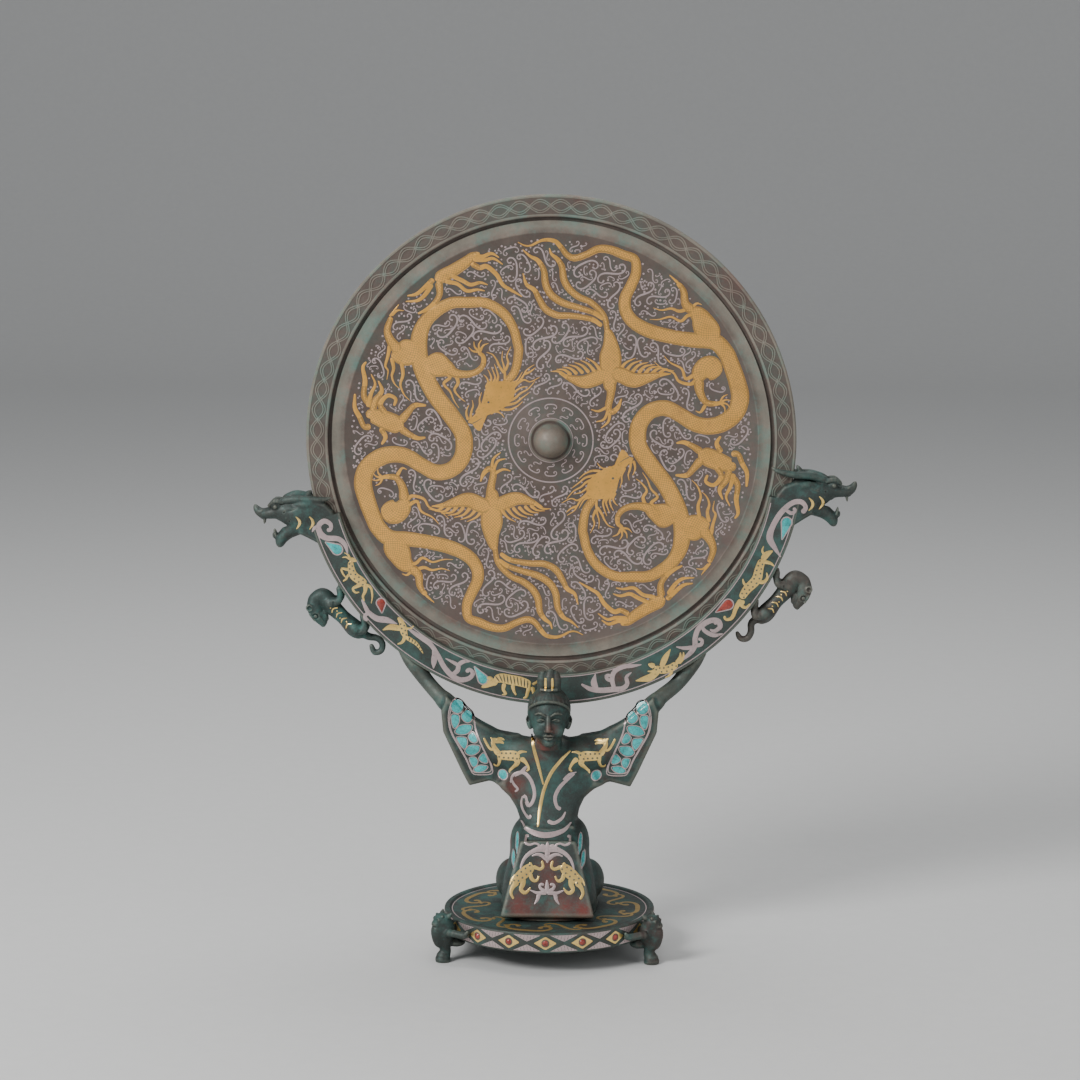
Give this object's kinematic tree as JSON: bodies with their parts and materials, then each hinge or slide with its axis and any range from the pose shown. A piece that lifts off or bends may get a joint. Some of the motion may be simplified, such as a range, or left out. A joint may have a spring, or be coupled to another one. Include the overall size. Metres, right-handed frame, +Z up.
{
  "type": "bronze mirror on a figure stand",
  "caption": "Round inlaid bronze mirror held upright in a crescent cradle with dragon-head ends, lifted by a kneeling bearer on a footed round tray.",
  "frame": {"origin": "centre of the bounding box at the level that the feet stand on", "axes": "+Z up, -Y the ornamented side that faces the viewer, +X to the viewer's right"},
  "size_m": [0.3696, 0.146, 0.46],
  "materials": {
    "mirror_bronze": "patinated grey-brown bronze",
    "stand_bronze": "dark green patinated bronze",
    "gold_inlay": "gold inlay, satin",
    "silver_inlay": "tarnished silver inlay",
    "turquoise": "polished turquoise stone",
    "carnelian": "polished red stone"
  },
  "bodies": {
    "root": {"mirror": "mirror_bronze", "mirror_cradle": "stand_bronze", "left_climbing_beast": "stand_bronze", "right_climbing_beast": "stand_bronze", "bearer": "stand_bronze", "left_sleeve_turquoise": "turquoise", "right_sleeve_turquoise": "turquoise", "tray": "stand_bronze", "foot_back": "stand_bronze", "foot_front_left": "stand_bronze", "foot_front_right": "stand_bronze", "turquoise_drop_1": "turquoise", "turquoise_drop_2": "turquoise", "turquoise_drop_3": "turquoise", "carnelian_drop_1": "carnelian", "carnelian_drop_2": "carnelian", "cabochon_01": "carnelian", "cabochon_02": "carnelian", "cabochon_03": "carnelian", "cabochon_04": "carnelian", "cabochon_05": "carnelian", "cabochon_06": "carnelian", "cabochon_07": "carnelian", "cabochon_08": "carnelian", "cabochon_09": "carnelian", "cabochon_10": "carnelian", "cabochon_11": "carnelian", "cabochon_12": "carnelian", "cabochon_13": "carnelian", "cabochon_14": "carnelian", "cabochon_15": "carnelian"}
  },
  "joints": []
}
